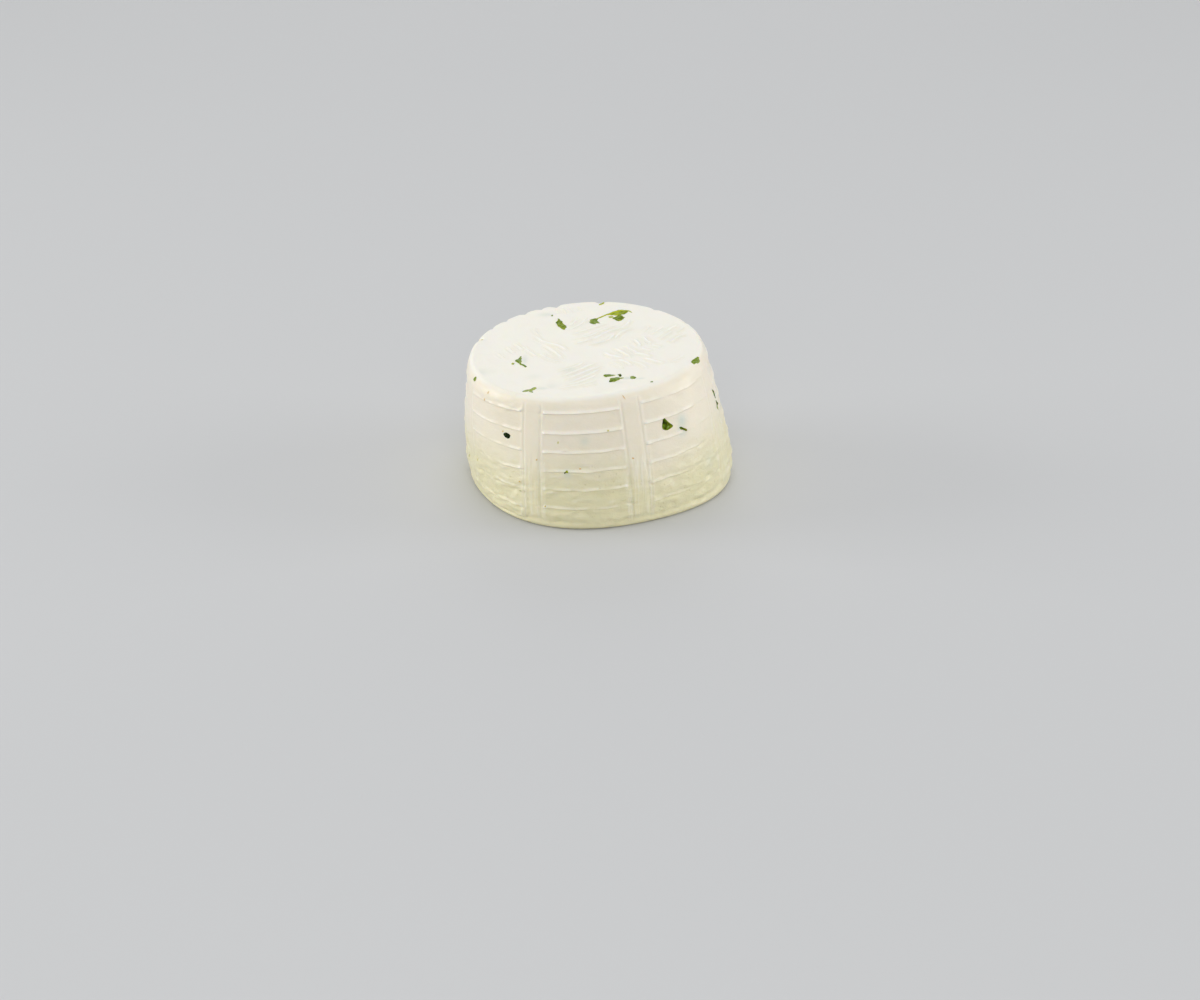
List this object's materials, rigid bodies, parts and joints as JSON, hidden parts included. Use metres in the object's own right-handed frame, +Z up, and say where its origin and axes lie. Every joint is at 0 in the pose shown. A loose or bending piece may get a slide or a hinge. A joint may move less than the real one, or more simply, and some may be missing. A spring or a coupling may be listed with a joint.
{
  "type": "giuncata cheese",
  "caption": "Fresh giuncata cheese with chopped herbs: a low drum that narrows upwards and leans a little, with upright bars and level ridges on its wall and woven marks on top.",
  "frame": {"origin": "middle of the flat base, on the surface the cheese stands on", "axes": "+Z up, narrow end up; -Y is the front, +X to the right seen from the front; the top leans towards -X"},
  "size_m": [0.0815, 0.0815, 0.0438],
  "materials": {
    "curd": "moist, satin",
    "herb": "moist, satin"
  },
  "bodies": {
    "root": {"giuncata": "curd"}
  },
  "joints": []
}
